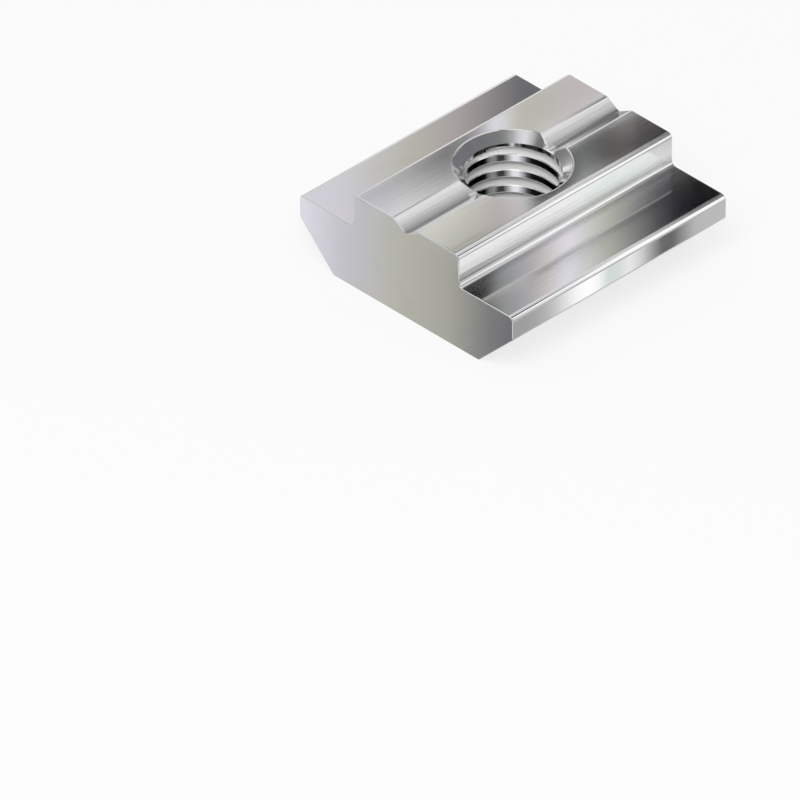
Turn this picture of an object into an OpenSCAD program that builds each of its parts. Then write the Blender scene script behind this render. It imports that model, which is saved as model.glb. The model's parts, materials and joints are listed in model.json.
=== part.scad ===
// T slot nut: a short length of T section steel with one threaded hole.
// The wide flange lies inside a profile's slot, its shoulders pull up against the slot's lips,
// and the neck between them stands in the slot's opening.
// X runs along the slot, Y across it and Z up. The origin is on the underside, below the hole.

/* [Flange] */
// Length of the nut along the slot
nut_length = 20; // [12:0.5:60]
// Width of the flange across the slot
flange_width = 20; // [18:0.5:26]
// Height of the shoulders that press against the slot's lips
shoulder_height = 5; // [4.2:0.1:8]
// Leg of the 45 degree chamfer along each lower edge
underside_chamfer = 3.2; // [1:0.1:4]
// Radius at both ends of that chamfer
heel_radius = 0.25; // [0.1:0.05:0.6]
// Radius of each shoulder's outer edge
shoulder_edge_radius = 0.4; // [0.1:0.05:0.6]

/* [Neck] */
// Width of the neck, a little under the slot's opening
neck_width = 9.9; // [9.4:0.1:12]
// Height of the neck above the shoulders
neck_height = 2.5; // [1.8:0.1:5]
// Radius of the neck's upper edges
neck_edge_radius = 0.4; // [0.1:0.05:0.6]
// Radius of the fillet between the neck and each shoulder
neck_root_radius = 0.35; // [0.1:0.05:0.6]

/* [Groove] */
// Width of the V groove along the middle of the neck
groove_width = 2.35; // [1.5:0.05:3]
// Angle between the groove's two sides
groove_angle = 120; // [100:5:140]
// Radius at the bottom of the groove
groove_root_radius = 0.3; // [0.1:0.05:0.5]
// Radius of the groove's upper edges
groove_edge_radius = 0.4; // [0.1:0.05:0.6]

/* [Thread] */
// Nominal diameter of the screw that the thread takes
thread_diameter = 8; // [5:0.5:9]
// Pitch of the thread
thread_pitch = 1.25; // [0.8:0.05:1.5]
// Depth of the 90 degree countersink at each end of the thread
countersink_depth = 0.68; // [0.3:0.02:0.9]

/* [Hidden] */
neck_top = shoulder_height + neck_height;
groove_depth = groove_width / 2 / tan(groove_angle / 2);
// The hole is drilled to the thread's core: each side of the 60 degree thread loses 5/8 of its full height
thread_full_height = thread_pitch * sqrt(3) / 2;
core_diameter = thread_diameter - 2 * 5 / 8 * thread_full_height;
// How far a cutter reaches past the face that it opens
cutter_reach = 0.5;
// How far a rounding sliver reaches past its corner
sliver_overlap = 0.2;
arc_steps = 64;
hole_steps = 96;
// Corners from the underside to the bottom of the groove, each with its place across, its height and its radius
half_outline = [
    [flange_width / 2 - underside_chamfer, 0, heel_radius],
    [flange_width / 2, underside_chamfer, heel_radius],
    [flange_width / 2, shoulder_height, shoulder_edge_radius],
    [neck_width / 2, shoulder_height, neck_root_radius],
    [neck_width / 2, neck_top, neck_edge_radius],
    [groove_width / 2, neck_top, groove_edge_radius],
    [0, neck_top - groove_depth, groove_root_radius]
];
other_half = [for (n = [len(half_outline) - 2 : -1 : 0]) mirrored(half_outline[n])];
outline = concat(half_outline, other_half);

function mirrored(corner) = [-corner[0], corner[1], corner[2]];
function place(corner) = [corner[0], corner[1]];
function unit(v) = v / norm(v);
// Above zero where the outline, walked anticlockwise, turns left
function turn(before, at, after) = cross(at - before, after - at);

// What lies between a sharp corner and the arc that rounds it, taken a little past the corner
module corner_sliver(before, at, after, radius) {
    to_before = unit(before - at);
    to_after = unit(after - at);
    to_centre = unit(to_before + to_after);
    half_angle = acos(to_before * to_after) / 2;
    reach = radius / tan(half_angle);
    difference() {
        polygon([at - sliver_overlap * to_centre, at + reach * to_before, at + reach * to_after]);
        translate(at + to_centre * radius / sin(half_angle)) circle(r = radius, $fn = arc_steps);
    }
}

// The slivers of all outward corners, or of all inward ones
module slivers(outward) {
    count = len(outline);
    for (n = [0 : count - 1]) {
        before = place(outline[(n + count - 1) % count]);
        at = place(outline[n]);
        after = place(outline[(n + 1) % count]);
        if ((turn(before, at, after) > 0) == outward) corner_sliver(before, at, after, outline[n][2]);
    }
}

// Cross section of the bar that the nut is cut from
module section() {
    difference() {
        union() {
            polygon([for (corner = outline) place(corner)]);
            slivers(outward = false);
        }
        slivers(outward = true);
    }
}

// A countersink's cone, standing on its tip side, with its rim at the given height
module countersink(rim_height) {
    core_radius = core_diameter / 2;
    translate([0, 0, rim_height - countersink_depth])
        cylinder(
            h = countersink_depth + cutter_reach,
            r1 = core_radius,
            r2 = core_radius + countersink_depth + cutter_reach,
            $fn = hole_steps
        );
}

// Core hole of the thread, with its countersinks
module core_hole() {
    translate([0, 0, -cutter_reach])
        cylinder(h = neck_top + 2 * cutter_reach, d = core_diameter, $fn = hole_steps);
    countersink(neck_top);
    mirror([0, 0, 1]) countersink(0);
}

module nut_body() {
    color("silver")
        difference() {
            rotate([90, 0, 90])
                linear_extrude(height = nut_length, center = true)
                    section();
            core_hole();
        }
}

nut_body();
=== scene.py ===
"""Looks of the T slot nut: drawn T section steel, bright zinc plated, with its thread cut as real turns.

Shapes are made in millimetres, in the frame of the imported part, and are scaled to metres at the end.
X runs along the slot, Y across it and Z up along the thread.
"""

import json
import math

import bmesh
import bpy
from mathutils import Matrix, Vector


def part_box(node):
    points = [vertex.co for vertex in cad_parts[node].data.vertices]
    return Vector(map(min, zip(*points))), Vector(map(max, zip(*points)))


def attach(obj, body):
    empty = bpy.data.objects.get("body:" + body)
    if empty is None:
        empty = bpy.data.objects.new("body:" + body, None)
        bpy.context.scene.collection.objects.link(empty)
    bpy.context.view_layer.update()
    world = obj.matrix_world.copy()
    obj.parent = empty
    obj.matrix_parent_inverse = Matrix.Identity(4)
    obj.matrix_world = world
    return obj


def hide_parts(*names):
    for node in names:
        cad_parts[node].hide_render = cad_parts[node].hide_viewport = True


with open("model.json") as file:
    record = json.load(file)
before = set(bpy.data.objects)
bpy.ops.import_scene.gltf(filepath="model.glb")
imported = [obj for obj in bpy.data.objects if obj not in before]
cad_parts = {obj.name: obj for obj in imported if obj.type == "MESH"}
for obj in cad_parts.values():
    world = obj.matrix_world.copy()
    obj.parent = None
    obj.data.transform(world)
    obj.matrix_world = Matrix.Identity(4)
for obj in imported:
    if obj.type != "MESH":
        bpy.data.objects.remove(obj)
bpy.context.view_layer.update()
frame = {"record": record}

MM = 0.001
_, body_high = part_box("nut_body")
mounts = {mount["name"]: mount for mount in frame["record"]["mounts"]}

# Sizes in millimetres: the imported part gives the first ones, and the others repeat its source
half_length = body_high.x / MM
half_width = body_high.y / MM
neck_top = body_high.z / MM
shoulder_height = mounts["left_shoulder"]["pos_m"][2] / MM
half_neck = mounts["left_neck_side"]["pos_m"][1] / MM
core_radius = mounts["thread"]["dims"]["r_mm"]
countersink_depth = (neck_top - mounts["thread"]["dims"]["length_mm"]) / 2
underside_chamfer = 3.2
groove_width = 2.35
groove_angle = 120
groove_depth = groove_width / 2 / math.tan(math.radians(groove_angle / 2))
heel_radius = 0.25
shoulder_edge_radius = 0.4
neck_root_radius = 0.35
neck_edge_radius = 0.4
groove_edge_radius = 0.4
groove_root_radius = 0.3

# How finely the rounds, the broken edges and the thread's turns are cut
round_segments = 8
break_segments = 3
turn_steps = 144
# How much the sharp edges are broken at the ends and at the countersinks' rims
end_edge_break = 0.1
rim_edge_break = 0.07
# Edges that turn less than this aren't a rim
rim_angle = math.radians(12)
# Faces that meet at less than this are shaded as one round
smooth_below = math.radians(28)
# Under this share of the largest face at a corner, a face has no say in the shading there
least_share = 0.4
# How near two places are to count as one, and how near a plane a place is to count as in it
same_place = 1e-4
same_plane = 1e-5
# What the boolean leaves: doubles this near each other, and edges this short
boolean_doubles = 0.003
boolean_slivers = 0.001
# How near a place is to a countersink's cone to count as on it, and how far above its foot that starts
cone_tolerance = 0.004
cone_start = 0.01
# Planes through the hole's axis that cut the faces round it, and how far along the nut they reach
scored_planes = 36
scored_reach = 4.8

# The M8 x 1.25 thread
pitch = 1.25
root_radius = 4.0
crest_flat = 0.6
root_flat = 0.12
crest_edge_break = 0.06
# Height of one groove's middle on the +X side of the hole
groove_height = 1.1
# Heights at which the core is plain and at which the thread has its full depth, at the bottom and at the top
bottom_run_out = (0.8, 1.2)
top_run_out = (6.45, 6.1)
# How far the tap's cones reach past the faces that they open
cone_reach = 0.5


def mesh_object(name, mesh):
    """Puts a bmesh into the scene as an object, and frees it."""
    data = bpy.data.meshes.new(name)
    mesh.to_mesh(data)
    mesh.free()
    piece = bpy.data.objects.new(name, data)
    bpy.context.scene.collection.objects.link(piece)
    return piece


def section_bar():
    """One length of the T section, with its rounded corners and its lightly broken end edges."""
    half = [
        (half_width - underside_chamfer, 0, heel_radius),
        (half_width, underside_chamfer, heel_radius),
        (half_width, shoulder_height, shoulder_edge_radius),
        (half_neck, shoulder_height, neck_root_radius),
        (half_neck, neck_top, neck_edge_radius),
        (groove_width / 2, neck_top, groove_edge_radius),
    ]
    groove_root = (0, neck_top - groove_depth, groove_root_radius)
    corners = [*half, groove_root, *((-across, height, radius) for across, height, radius in reversed(half))]
    mesh = bmesh.new()
    outline = [mesh.verts.new((-half_length, across, height)) for across, height, _ in corners]
    section = mesh.faces.new(outline)
    grown = bmesh.ops.extrude_face_region(mesh, geom=[section])["geom"]
    far_end = [item for item in grown if isinstance(item, bmesh.types.BMVert)]
    bmesh.ops.translate(mesh, verts=far_end, vec=(2 * half_length, 0, 0))
    bmesh.ops.recalc_face_normals(mesh, faces=mesh.faces)
    for across, height, radius in corners:
        round_long_edge(mesh, across, height, radius)
    ends = [edge for edge in mesh.edges if at_one_end(edge)]
    bevel(mesh, ends, end_edge_break, break_segments)
    score_round_hole(mesh)
    return mesh_object("threaded_nut", mesh)


def score_round_hole(mesh):
    """Cuts the faces round the hole into wedges, so that the hole's rim can be broken evenly later."""
    for side in (-1, 1):
        slice_mesh(mesh, mesh.faces, (side * scored_reach, 0, 0), (1, 0, 0))
    for number in range(scored_planes):
        # A quarter of a step on, the planes miss the corners of the tap's facets
        angle = (number + 0.25) * math.pi / scored_planes
        near = [face for face in mesh.faces if abs(face.calc_center_median().x) < scored_reach]
        slice_mesh(mesh, near, (0, 0, 0), (math.cos(angle), math.sin(angle), 0))


def slice_mesh(mesh, faces, place, direction, clear_outer=False):
    """Cuts faces along a plane."""
    geometry = set(faces)
    for face in faces:
        geometry.update(face.edges)
        geometry.update(face.verts)
    bmesh.ops.bisect_plane(
        mesh, geom=list(geometry), dist=same_plane, plane_co=place, plane_no=direction,
        clear_outer=clear_outer,
    )


def bevel(mesh, edges, offset, segments):
    """Rounds edges, each new edge lying offset away from the old one."""
    bmesh.ops.bevel(
        mesh, geom=edges, offset=offset, offset_type="OFFSET", affect="EDGES",
        segments=segments, profile=0.5, material=-1, clamp_overlap=False,
    )


def round_long_edge(mesh, across, height, radius):
    """Rounds the long edge that runs through a corner of the section."""
    corner = Vector((across, height))
    edge = next(e for e in mesh.edges if all((v.co.yz - corner).length < same_place for v in e.verts))
    turn = edge.link_faces[0].normal.angle(edge.link_faces[1].normal)
    bevel(mesh, [edge], radius * math.tan(turn / 2), round_segments)


def at_one_end(edge):
    """Whether an edge lies on the outline of an end face."""
    first, second = (vertex.co.x for vertex in edge.verts)
    return abs(first - second) < same_place and abs(abs(first) - half_length) < same_place


def tap():
    """The tool that cuts the thread: a chain of teeth, spun along the pitch, with a cone at both ends."""
    mesh = bmesh.new()
    groove_half = (pitch - crest_flat) / 2
    flank_angle = math.atan2(groove_half - root_flat / 2, root_radius - core_radius)
    broken = crest_edge_break * Vector((math.cos(flank_angle), math.sin(flank_angle)))
    half_tooth = [
        (core_radius, groove_half + crest_edge_break),
        (core_radius + broken.x, groove_half - broken.y),
        (root_radius, root_flat / 2),
    ]
    tooth = [*((radius, -height) for radius, height in half_tooth), *reversed(half_tooth)]
    # The chain starts and ends far enough from the nut for its open ends to be cut off
    turns = range(-3, math.ceil(neck_top / pitch) + 2)
    chain = [
        mesh.verts.new((radius, 0, groove_height + number * pitch + height))
        for number in turns for radius, height in tooth
    ]
    for below, above in zip(chain, chain[1:]):
        mesh.edges.new((below, above))
    bmesh.ops.spin(
        mesh, geom=[*mesh.verts, *mesh.edges], axis=(0, 0, 1), cent=(0, 0, 0), angle=math.tau,
        steps=turn_steps, dvec=(0, 0, pitch / turn_steps), use_merge=False, use_duplicate=False,
    )
    bmesh.ops.remove_doubles(mesh, verts=mesh.verts, dist=same_place)
    for vertex in mesh.verts:
        run_out(vertex)
    for face_height, side in ((0, -1), (neck_top, 1)):
        shape_countersink(mesh, face_height, side)
    bmesh.ops.holes_fill(mesh, edges=[edge for edge in mesh.edges if edge.is_boundary], sides=0)
    bmesh.ops.recalc_face_normals(mesh, faces=mesh.faces)
    return mesh_object("tap", mesh)


def run_out(vertex):
    """Draws a vertex of the tap in towards the core near both ends of the hole."""
    from_bottom, from_top = (
        (vertex.co.z - plain) / (full - plain) for plain, full in (bottom_run_out, top_run_out)
    )
    share = max(0.0, min(1.0, from_bottom, from_top))
    limit = core_radius + (root_radius - core_radius) * share
    vertex.co.xy *= min(1.0, limit / vertex.co.xy.length)


def shape_countersink(mesh, face_height, side):
    """Opens the tap's end into a 90 degree cone that reaches past the face, and cuts it off there."""
    start = face_height - side * countersink_depth
    for height, clear in ((start, False), (face_height + side * cone_reach, True)):
        slice_mesh(mesh, mesh.faces, (0, 0, height), (0, 0, side), clear)
    for vertex in mesh.verts:
        depth = side * (vertex.co.z - start)
        if depth > 0:
            vertex.co.xy *= (core_radius + depth) / vertex.co.xy.length


def cut(piece, tools):
    """Cuts the tools out of a piece, and removes them."""
    for tool in tools:
        step = piece.modifiers.new(tool.name, "BOOLEAN")
        step.operation = "DIFFERENCE"
        step.solver = "EXACT"
        step.object = tool
    bpy.context.view_layer.update()
    finished = bpy.data.meshes.new_from_object(piece.evaluated_get(bpy.context.evaluated_depsgraph_get()))
    piece.modifiers.clear()
    piece.data = finished
    for tool in tools:
        bpy.data.objects.remove(tool)


def break_rims(piece):
    """Breaks the edges of both countersinks, also where the upper one crosses the groove."""
    mesh = bmesh.new()
    mesh.from_mesh(piece.data)
    bmesh.ops.remove_doubles(mesh, verts=mesh.verts, dist=boolean_doubles)
    bmesh.ops.dissolve_degenerate(mesh, edges=mesh.edges, dist=boolean_slivers)
    bevel(mesh, [edge for edge in mesh.edges if on_a_rim(edge)], rim_edge_break, break_segments)
    mesh.to_mesh(piece.data)
    mesh.free()


def on_a_rim(edge):
    """Whether an edge runs between a countersink's cone and the faces round it."""
    if len(edge.link_faces) < 2 or edge.calc_face_angle() < rim_angle:
        return False
    cones = ((0, -1), (neck_top, 1))
    return any(all(on_cone(vertex.co, height, side) for vertex in edge.verts) for height, side in cones)


def on_cone(place, face_height, side):
    """Whether a place lies on a countersink's cone, above its lower end."""
    depth = side * (place.z - face_height) + countersink_depth
    return depth > cone_start and abs(place.xy.length - core_radius - depth) < cone_tolerance


def shade(piece):
    """Shades rounds smoothly and keeps flats flat: at each corner the largest faces there win."""
    mesh = piece.data
    meeting = [[] for _ in mesh.vertices]
    for face in mesh.polygons:
        for vertex in face.vertices:
            meeting[vertex].append(face)
    normals = []
    for face in mesh.polygons:
        for vertex in face.vertices:
            near = [
                other for other in meeting[vertex]
                if other.normal.angle(face.normal, math.pi) < smooth_below
            ]
            least = least_share * max(other.area for other in near)
            chosen = [other.normal * other.area for other in near if other.area > least]
            normals.append(sum(chosen, Vector()).normalized())
    mesh.shade_smooth()
    mesh.normals_split_custom_set(normals)


class Value:
    """A number that varies over a surface: sums, differences and products with it add Math nodes."""

    def __init__(self, nodes, socket):
        self.nodes = nodes
        self.socket = socket

    def math(self, operation, *others):
        return self.nodes.add("ShaderNodeMath", {"operation": operation}, self, *others)

    def __add__(self, other):
        return self.math("ADD", other)

    def __rsub__(self, other):
        return self.nodes.add("ShaderNodeMath", {"operation": "SUBTRACT"}, other, self)

    def __mul__(self, other):
        return self.math("MULTIPLY", other)

    __radd__ = __add__
    __rmul__ = __mul__


class Finish:
    """The nodes of a material, or of the world."""

    def __init__(self, owner):
        self.owner = owner
        self.owner.use_nodes = True
        self.tree = owner.node_tree
        self.tree.nodes.clear()

    def add(self, kind, settings=None, *values, out=0, **named):
        """Adds a node by its type, its settings and the values or links of its sockets.

        Returns one of its outputs, or all that are listed.
        """
        node = self.tree.nodes.new(kind)
        for key, value in (settings or {}).items():
            setattr(node, key, value)
        for place, value in [*enumerate(values), *named.items()]:
            self.feed(socket_of(node, place), value)
        if isinstance(out, list):
            return [Value(self, node.outputs[name]) for name in out]
        return Value(self, node.outputs[out])

    def feed(self, socket, value):
        """Links a value to a socket, or sets the socket's own number or colour."""
        if isinstance(value, Value):
            self.tree.links.new(value.socket, socket)
        else:
            socket.default_value = value

    def step(self, value, low, high):
        """Rises smoothly from 0 to 1 as the value goes from low to high."""
        smooth = {"interpolation_type": "SMOOTHSTEP"}
        return self.add("ShaderNodeMapRange", smooth, value, low, high, 0.0, 1.0)

    def noise(self, place, scales, detail):
        """Noise that has so many grains a metre along each axis."""
        stretched = self.add("ShaderNodeVectorMath", {"operation": "MULTIPLY"}, place, scales)
        return self.add("ShaderNodeTexNoise", None, vector=stretched, scale=1.0, detail=float(detail))

    def mixed(self, share, first, second):
        """A colour between two, by the share of the second."""
        return self.add(
            "ShaderNodeMix", {"data_type": "RGBA"}, factor=share, a=first, b=second, out=2,
        )

    def shown(self):
        """1 where the camera sees a thing or its mirror image, and 0 where the thing lights others."""
        rays = self.add("ShaderNodeLightPath", out=["Is Camera Ray", "Is Glossy Ray", "Is Transmission Ray"])
        return rays[0] + rays[1] + rays[2]

    def surface(self, shader, output="ShaderNodeOutputMaterial"):
        """Makes a shader the surface, and returns what the nodes belong to."""
        self.add(output, None, out=[], surface=shader)
        return self.owner


def socket_of(node, place):
    """An input by its number, or by its name in lower case with underscores."""
    if isinstance(place, int):
        return node.inputs[place]
    return next(s for s in node.inputs if s.enabled and s.name.lower().replace(" ", "_") == place)


def zinc_plated_steel():
    """Bright zinc on drawn steel: drawn along the bar, cut across its ends and turned in the hole, with
    painted shade in its inner corners.
    """
    finish = Finish(bpy.data.materials.new("zinc_plated_steel"))
    place = finish.add("ShaderNodeTexCoord", None, out="Object")
    along, across, height_above = finish.add("ShaderNodeSeparateXYZ", None, place, out=["X", "Y", "Z"])
    radius = (along * along + across * across).math("SQRT")
    rim_radius = core_radius + countersink_depth
    cone_foot = neck_top - countersink_depth

    # Where the steel is sawn, turned, drawn and tapped
    on_end = finish.step(along.math("ABSOLUTE"), (half_length - 0.03) * MM, half_length * MM)
    in_hole = finish.step(radius, (rim_radius + 0.04) * MM, rim_radius * MM)
    drawn = (1 - on_end) * (1 - in_hole)
    above_cone = finish.step(height_above, countersink_depth * MM, (countersink_depth + 0.1) * MM)
    below_cone = finish.step(height_above, cone_foot * MM, (cone_foot - 0.1) * MM)
    off_core = finish.step(radius, (core_radius + 0.02) * MM, (core_radius + 0.08) * MM)
    in_thread = in_hole * above_cone * below_cone * off_core

    # Painted shade in the inner corners: darker at the bottom of the groove and at the foot of the neck's
    # sides
    aside = across.math("ABSOLUTE")
    in_groove = finish.step(aside, 0.3 * MM, 0.05 * MM) * finish.step(height_above, 6.5 * MM, 6.6 * MM)
    in_neck = finish.step(aside, (half_neck + 0.06) * MM, (half_neck + 0.02) * MM)
    above_shoulder = finish.step(height_above, (shoulder_height - 0.1) * MM, shoulder_height * MM)
    near_root = finish.step(height_above, (shoulder_height + 1.0) * MM, (shoulder_height + 0.4) * MM)
    painted_corner_shade = drawn * (0.7 * in_groove + 0.35 * in_neck * above_shoulder * near_root)

    # Marks of the tools, fine along the work and close together across it, and clouds in the plating
    drawing_lines = finish.noise(place, (150, 4200, 4200), detail=4)
    saw_lines = finish.noise(place, (900, 500, 5200), detail=3)
    turning_lines = finish.noise(place, (300, 300, 9000), detail=2)
    grain = finish.noise(place, (5200, 5200, 5200), detail=3)
    clouds = finish.noise(place, (120, 210, 210), detail=2)
    smears = finish.noise(place, (260, 420, 420), detail=5)

    height = drawn * drawing_lines + on_end * saw_lines + in_hole * turning_lines + 0.1 * grain
    relief = finish.add("ShaderNodeBump", None, strength=0.009, distance=0.0002, height=height)
    # The tapped grooves scatter the light, so they are paler and duller than the rest
    roughness = 0.05 + 0.03 * grain + 0.04 * smears + 0.06 * on_end + 0.03 * in_hole + 0.3 * in_thread
    blue = finish.mixed(clouds, (0.795, 0.8, 0.825, 1), (0.825, 0.815, 0.79, 1))
    colour = finish.mixed(finish.step(smears, 0.56, 0.74) * 0.35, blue, (0.72, 0.72, 0.73, 1))
    # Painted shade: the inner corners are mixed towards dark grey
    colour = finish.mixed(painted_corner_shade, colour, (0.22, 0.22, 0.22, 1))
    colour = finish.mixed(in_thread, colour, (0.84, 0.84, 0.83, 1))
    metal = 1 - 0.8 * in_thread
    return finish.surface(finish.add(
        "ShaderNodeBsdfPrincipled", None,
        base_color=colour, metallic=metal, roughness=roughness, normal=relief,
    ))


def pale_floor():
    """A matt white floor that the camera and the metal see a little lighter than it is lit."""
    finish = Finish(bpy.data.materials.new("pale_floor"))
    matt = finish.add("ShaderNodeBsdfDiffuse", None, color=(0.9, 0.9, 0.9, 1))
    white = finish.add("ShaderNodeEmission", None, color=(1, 1, 1, 1), strength=1.0)
    return finish.surface(finish.add("ShaderNodeMixShader", None, finish.shown() * 0.75, matt, white))


def card_light():
    """The light that a reflection card gives back: its own tone at each corner."""
    finish = Finish(bpy.data.materials.new("card_light"))
    tone = finish.add("ShaderNodeAttribute", {"attribute_name": "tone"}, out="Color")
    return finish.surface(finish.add("ShaderNodeEmission", None, tone, 1.0))


CARD_LIGHT = card_light()

# Faint colours of the cards' greys
NEUTRAL = (1.0, 1.0, 1.0)
LILAC = (0.99, 0.97, 1.06)
TEAL = (0.93, 1.02, 1.0)
BEIGE = (1.02, 1.02, 0.9)
PINK = (1.07, 0.98, 0.97)
VIOLET = (0.9, 0.78, 1.3)

# Radius of the dome round the nut, and height of the floor card over the real floor
shell_radius = 120
mirrored_floor_height = 0.01
# The ribbon card that winds inside the thread: its radius, its turns in degrees and its overlap on a crest
ribbon_radius = 3.05
ribbon_turns = range(-235, 1400, 5)
ribbon_overlap = 0.03
# The turn in degrees at which the camera sees the hole's far wall square on
far_wall = 45

# The way the camera looks, and the ways that the nut's faces point
VIEW = Vector((1, 1, -1)).normalized()
UP = Vector((0, 0, 1))
RIGHT = Vector((0, -1, 0))


def grey(level, tint=NEUTRAL):
    """A grey with a faint tint."""
    return Vector([level * part for part in tint])


def as_card(piece):
    """Makes a piece one that only the metal's reflections see."""
    piece.data.transform(Matrix.Scale(MM, 4))
    piece.data.materials.append(CARD_LIGHT)
    piece.visible_camera = piece.visible_diffuse = piece.visible_shadow = piece.visible_transmission = False


def card(name, columns):
    """A reflection card: each column is its two ends and the colour at each."""
    mesh = bmesh.new()
    tone = mesh.verts.layers.float_color.new("tone")
    before = None
    for ends, colours in columns:
        pair = [mesh.verts.new(end) for end in ends]
        for vertex, colour in zip(pair, colours):
            vertex[tone] = (*colour, 1)
        if before:
            mesh.faces.new([before[0], pair[0], pair[1], before[1]])
        before = pair
    as_card(mesh_object(name, mesh))


def seen_at(across, height):
    """The place at this height across the nut that the camera sees straight above or below the hole."""
    return Vector((across, across, height))


def behind_neck_side(place):
    """Where a place of the right shoulder seems to lie in the mirror of the neck's side."""
    return Vector((place.x, -2 * half_neck - place.y, place.z))


def mirrored(place, *facings, distance=40):
    """Where a card stands for the camera to see it at a place, by way of faces that point these ways.

    The faces come in the order in which the camera's sight meets them.
    """
    ray = VIEW
    for facing in facings:
        ray = ray.reflect(facing)
    return place + distance * ray


def stripes(name, ends, facings, tones, step=(1, 0, 0), distance=40):
    """A card for one long face, from one place on the face to another.

    The tones follow each other along the step: each has its place, one or two levels, and a tint.
    """
    columns = []
    for along, level, *tint in tones:
        levels = level if isinstance(level, tuple) else (level, level)
        moved = [mirrored(end + along * Vector(step), *facings, distance=distance) for end in ends]
        columns.append((moved, [grey(each, *tint) for each in levels]))
    card(name, columns)


def between(stops, place):
    """The value at a place between stops, each a place and a value."""
    if place <= stops[0][0]:
        return stops[0][1]
    for (low, first), (high, second) in zip(stops, stops[1:]):
        if place <= high:
            return first + (second - first) * (place - low) / (high - low)
    return stops[-1][1]


def studio_shell():
    """The room that the metal mirrors: a dome of soft light with brighter and darker fields."""
    # Each field has the way to its middle, its reach in degrees and its tone
    fields = [
        ((0, 0, 1), 46, grey(0.9)),
        ((1, -0.2, 1.4), 20, grey(0.66)),
        ((1, -1.05, 1), 15, grey(1.35)),
        ((1, -1.3, 0.8), 12, grey(1.35)),
        ((1, -1.45, 0.42), 11, grey(1.35)),
        ((1, -1.41, 0.1), 12, grey(1.35)),
        ((-0.45, 1, 1.35), 27, grey(1.35)),
        ((-1, -1, 0.95), 24, grey(1.4)),
        ((1, 1.41, 0.05), 14, grey(1.3)),
    ]
    mesh = bmesh.new()
    bmesh.ops.create_uvsphere(mesh, u_segments=96, v_segments=48, radius=shell_radius)
    below = [vertex for vertex in mesh.verts if vertex.co.z < -0.1]
    bmesh.ops.delete(mesh, geom=below, context="VERTS")
    tone = mesh.verts.layers.float_color.new("tone")
    for vertex in mesh.verts:
        elevation = math.degrees(math.asin(vertex.co.z / shell_radius))
        turn = math.atan2(vertex.co.y, vertex.co.x)
        # Over the horizon runs a band that goes from dark to light and back five times on its way round
        in_band = max(0.0, 1 - abs(elevation - 18) / 26)
        colour = grey(0.85 - in_band * (0.35 - 0.4 * math.cos(5 * turn + math.radians(135))))
        for towards, reach, field in fields:
            nearness = 1 - math.degrees(vertex.co.angle(Vector(towards))) / reach
            share = max(0.0, nearness)
            colour = colour.lerp(field, share * share * (3 - 2 * share))
        vertex[tone] = (*colour, 1)
    as_card(mesh_object("studio_shell", mesh))


def mirrored_floor():
    """The floor as the metal sees it: a sheet of painted shade that darkens it under the nut, and whose tone
    changes further away.
    """
    # Each tone has its distance from the nut's sides
    tones = [
        (-10, 0.2), (-3, 0.22), (0.3, 0.5), (4, 0.88), (8, 0.7), (13, 0.42), (25, 0.35), (40, 0.75),
        (60, 0.5), (110, 0.85),
    ]
    mesh = bmesh.new()
    bmesh.ops.create_grid(mesh, x_segments=160, y_segments=160, size=shell_radius)
    tone = mesh.verts.layers.float_color.new("tone")
    for vertex in mesh.verts:
        away = max(abs(vertex.co.x), abs(vertex.co.y)) - half_length
        vertex.co.z = mirrored_floor_height
        vertex[tone] = (*grey(between(tones, away)), 1)
    as_card(mesh_object("mirrored_floor", mesh))


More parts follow.
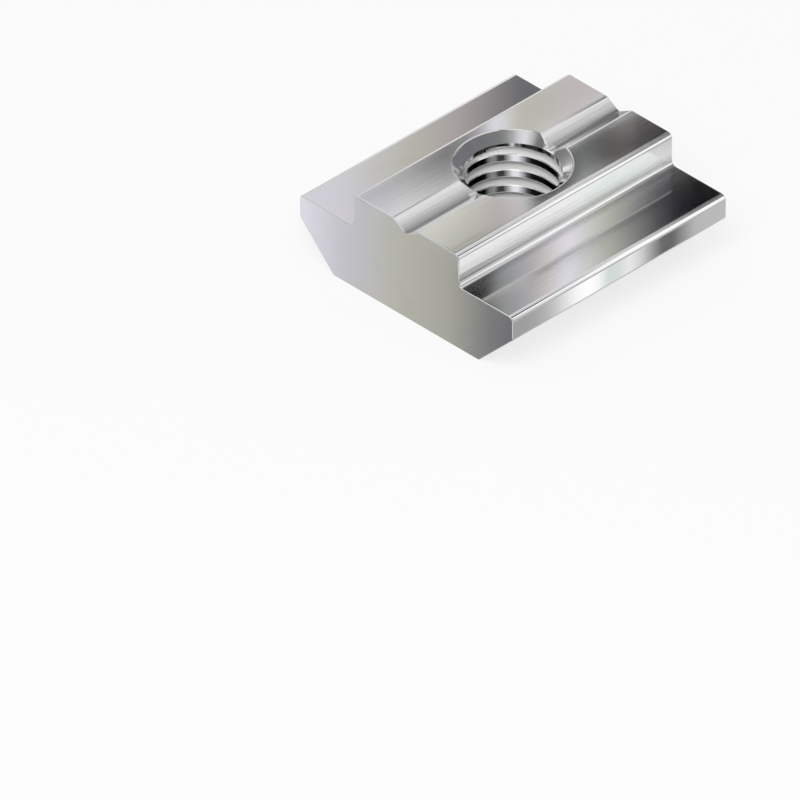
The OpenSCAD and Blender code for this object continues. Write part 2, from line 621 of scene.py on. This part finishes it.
def cards_above():
    """Cards that the camera sees in the faces that point up, and in the neck's side."""
    outer, inner = (seen_at(across, shoulder_height) for across in (half_width + 2, half_neck - 1))
    stripes(
        "card_over_left_shoulder", [outer, inner], [UP],
        [(-26, 0.84, LILAC), (-17, 0.77, LILAC), (-10, 0.55, BEIGE), (-5.8, 0.45, PINK), (0.7, 0.17, LILAC),
         (12, 0.15, LILAC)],
    )
    stripes(
        "card_over_left_neck", [seen_at(5.2, neck_top), seen_at(1, neck_top)], [UP],
        [(-20, (0.55, 1.0), LILAC), (-14, (0.46, 0.88), LILAC), (-12, (0.38, 0.85), LILAC),
         (-10, (0.25, 0.85)), (-8, (0.11, 0.7)), (-7, (0.06, 0.62)), (-6, (0.05, 0.5)), (-5, (0.07, 0.5)),
         (-4, (0.15, 0.6)),
         (-3, (0.42, 0.62), LILAC), (-2, (0.95, 0.8), LILAC), (-1, (0.85, 0.8), LILAC), (0, 0.64, BEIGE),
         (1, (0.53, 0.57), BEIGE), (2, (0.53, 0.62), BEIGE), (6, (0.56, 0.62), PINK),
         (14, (0.54, 0.6), PINK)],
    )
    stripes(
        "card_over_right_neck", [seen_at(-1, neck_top), seen_at(-half_neck, neck_top)], [UP],
        [(-14, (0.74, 0.66), BEIGE), (-7, (0.74, 0.6), BEIGE), (-6, (0.72, 0.54), BEIGE),
         (-4, (0.63, 0.52), BEIGE), (-2, 0.53, PINK), (-1, (0.56, 0.52), PINK), (0, (0.65, 0.58), PINK),
         (1, (0.7, 0.62)), (1.6, (0.5, 0.45)), (2.2, (0.05, 0.14)), (3, (0.02, 0.04)), (4, (0.02, 0.03)),
         (5, (0.03, 0.03)), (6, (0.04, 0.2)), (7, (0.02, 0.34), TEAL), (8, (0.03, 0.24), TEAL),
         (9, (0.08, 0.12), PINK), (10, (0.2, 0.05), PINK), (11, (0.22, 0.03), PINK),
         (12, (0.14, 0.02), PINK), (20, (0.08, 0.02))],
    )
    shoulder_tones = [
        (-12, 0.0), (-3.4, 0.0, VIOLET), (-2.3, 0.05, BEIGE), (-1.2, 0.3, TEAL), (0.7, 0.42, LILAC),
        (2, 0.5), (3.3, 0.66, PINK), (5.2, 0.92, LILAC), (6.8, 0.75), (9.2, 0.5, BEIGE), (11.4, 0.28),
        (13.7, 0.1, LILAC), (15.6, 0.02, VIOLET), (17.4, 0.002, VIOLET), (28, 0.0),
    ]
    inner, middle, outer = (seen_at(across, shoulder_height) for across in (-half_neck + 0.1, -7.4, -11))
    stripes("card_over_right_shoulder", [middle, outer + Vector((-2, -2, 0))], [UP], shoulder_tones)
    # The inner half of the right shoulder is seen by way of the neck's side
    stripes(
        "card_beside_right_shoulder", [behind_neck_side(inner), behind_neck_side(outer)], [RIGHT, UP],
        [(along, 1.25 * level, *tint) for along, level, *tint in shoulder_tones], distance=25,
    )
    # The neck's side is seen by way of the shoulder, so its card stands as if the neck went on below
    top, halfway, foot = (seen_at(-half_neck, 2 * shoulder_height - height) for height in (7.6, 6.3, 5.1))
    stripes(
        "card_beside_neck_top", [top, halfway], [RIGHT, UP],
        [(-12, 1.4), (4, 1.35), (9, 1.3, TEAL), (16, 1.2), (26, 1.2)], distance=25,
    )
    stripes(
        "card_beside_neck_foot", [halfway, foot], [RIGHT, UP],
        [(-12, (1.4, 0)), (4, (1.35, 0.1)), (9, (1.3, 0.5), TEAL), (16, (1.2, 1.2)), (26, 1.3)],
        distance=25,
    )
    # The right shoulder mirrors the neck's edge as well, as a line that darkens along with the shoulder
    edge_card("card_over_neck_edge", [(4, 0.63), (6.25, 0.35), (8.5, 0.12), (14, 0.03)])
    slope = Vector((0, -0.5, math.sqrt(0.75)))
    stripes(
        "card_over_groove", [seen_at(1.6, neck_top + 0.25), seen_at(-0.4, neck_top - 0.9)], [slope],
        [(-16, (1.3, 0.04)), (16, (1.25, 0.04))], distance=20,
    )


def cards_below():
    """Cards on the floor, where the front end and the right side look down."""
    foot = Vector((-half_length, -half_width, 0.02))
    stripes(
        "card_before_front_end", [foot, foot + Vector((-8, 8, 0))], [],
        [(-24, 0.95, LILAC), (-20, 0.9, LILAC), (-16, 0.68, LILAC), (-11, 0.55, BEIGE), (-6, 0.45, BEIGE),
         (-2.5, 0.26), (0, 0.19, LILAC), (5, 0.19, LILAC)],
        step=(0, -1, 0), distance=0,
    )
    stripes(
        "card_beside_right_side", [foot + Vector((2, -2, 0)), foot + Vector((6, -6, 0))], [],
        [(-5, 0.4), (1, 0.42), (2, 0.45), (3, 0.54), (4, 0.7), (5, 0.93), (6, 1.14), (7, 1.25), (8, 1.15),
         (9, 0.83, TEAL), (10, 0.87, TEAL), (11, 1.0), (12, 0.78), (13, 0.43), (14, 0.17), (15, 0.17, TEAL),
         (16, 0.35), (17, 0.56), (18, 0.6), (25, 0.6)],
        distance=0,
    )


def edge_card(name, tones):
    """A card for the mirror image of the neck's rounded edge, with a tone at each place along the nut."""
    columns = []
    slopes = [Vector((0, -math.cos(tilt), math.sin(tilt))) for tilt in map(math.radians, (12, 38))]
    for along, level in tones:
        on_edge = Vector((along, 0.2 - half_neck, neck_top - 0.2))
        ends = [mirrored(on_edge, UP, slope, distance=25) for slope in slopes]
        columns.append((ends, [grey(level)] * 2))
    card(name, columns)


def cone_card(name, tones):
    """A card for the upper countersink, with a tone at each turn round the hole."""
    columns = []
    for turn, *tone in tones:
        outwards = Vector((math.cos(math.radians(turn)), math.sin(math.radians(turn)), 0))
        slope = (outwards + UP).normalized()
        start = outwards * core_radius + UP * (neck_top - countersink_depth)
        # The card reaches past the cone's foot and rim
        ends = [mirrored(start + slope * far, (UP - outwards).normalized(), distance=60) for far in (-4, 5)]
        columns.append((ends, [grey(*tone)] * 2))
    card(name, columns)


def ribbon_card(name, tones):
    """A card for the thread's crests: it winds up inside them, with tones by angle from the far wall."""
    stops = [(turn, grey(*tone)) for turn, *tone in tones]
    columns = []
    for turn in ribbon_turns:
        aside = (far_wall + 180 - turn) % 360 - 180
        # The near wall, which the camera doesn't see, has the tones of the far one
        if abs(aside) > 90:
            aside = math.copysign(180, aside) - aside
        # What the camera sees in a crest lies lower on the ribbon, and lowest at the sides
        drop = 0.2 + 0.15 * min(1.5, (aside / 40) ** 2)
        middle = groove_height + pitch * (0.5 + turn / 360) - drop
        place = Matrix.Rotation(math.radians(turn), 4, "Z") @ Vector((ribbon_radius, 0, middle))
        ends = [place + UP * side * (crest_flat / 2 + ribbon_overlap) for side in (-1, 1)]
        columns.append((ends, [between(stops, aside)] * 2))
    card(name, columns)


def cards():
    """Cards of changing tone, each standing where the camera sees it in one face of the nut."""
    cards_above()
    cards_below()
    cone_card("card_over_far_countersink", [
        (200, 0.2, LILAC), (150, 0.2, LILAC), (123, 0.2, LILAC), (100, 0.18, LILAC), (80, 0.17, LILAC),
        (70, 0.19, TEAL), (60, 0.2, TEAL), (53, 0.26), (46, 0.46), (39, 0.74, LILAC), (32, 0.9), (25, 0.6),
        (18, 0.19), (8, 0.17),
    ])
    cone_card("card_over_near_countersink", [
        (-8, 0.17), (-17, 0.23), (-24, 0.27), (-31, 0.36), (-38, 0.5), (-46, 0.56), (-53, 0.9), (-60, 0.8),
        (-67, 0.24), (-80, 0.15),
    ])
    ribbon_card("card_in_thread", [
        (-40, 0.0), (-28, 0.005), (-24, 0.27, TEAL), (-18, 0.3, TEAL), (-15, 0.05), (-9, 0.05), (-6.5, 0.38),
        (-3, 0.44), (-1, 0.9, LILAC), (8, 0.95, LILAC), (11, 0.25, LILAC), (17, 0.01, LILAC), (40, 0.0),
    ])


def lights():
    """Soft daylight all round and one soft lamp over the near end."""
    sky = Finish(bpy.data.worlds.new("studio"))
    daylight = sky.add("ShaderNodeBackground", None, color=(1, 1, 1, 1), strength=0.55 + 0.45 * sky.shown())
    bpy.context.scene.world = sky.surface(daylight, "ShaderNodeOutputWorld")
    lamp = bpy.data.lights.new("window", "AREA")
    lamp.size = 0.35
    lamp.energy = 2.2
    piece = bpy.data.objects.new("window", lamp)
    piece.location = (-0.32, -0.2, 0.5)
    piece.rotation_euler = piece.location.to_track_quat("Z", "Y").to_euler()
    piece.visible_glossy = False
    bpy.context.scene.collection.objects.link(piece)


def camera():
    """The camera at the photograph's isometric angle, far off and with a long lens."""
    data = bpy.data.cameras.new("camera")
    data.lens = 1500
    data.sensor_width = 36
    data.clip_start = 0.1
    data.clip_end = 10
    picture_width = 800
    pixels_per_mm = 15.095
    distance = picture_width / pixels_per_mm * data.lens / data.sensor_width
    nut_middle = Vector((0, 0, neck_top / 2))
    # The point beside the nut that stands in the middle of the picture
    picture_middle = Vector((-10.41, 0.12, -6.54))
    place = nut_middle - VIEW * distance
    seen_from = bpy.data.objects.new("camera", data)
    seen_from.location = place * MM
    seen_from.rotation_euler = (picture_middle - place).to_track_quat("-Z", "Y").to_euler()
    bpy.context.scene.collection.objects.link(seen_from)
    bpy.context.scene.camera = seen_from
    bpy.context.scene.view_settings.view_transform = "Standard"


def floor():
    """A level floor under the nut, made in metres."""
    mesh = bmesh.new()
    bmesh.ops.create_grid(mesh, x_segments=1, y_segments=1, size=3)
    piece = mesh_object("floor", mesh)
    piece.data.materials.append(pale_floor())


camera()
floor()
lights()
studio_shell()
mirrored_floor()
cards()

nut = section_bar()
cut(nut, [tap()])
break_rims(nut)
nut.data.transform(Matrix.Scale(MM, 4))
shade(nut)
nut.data.materials.clear()
nut.data.materials.append(zinc_plated_steel())
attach(nut, "root")
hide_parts("nut_body")
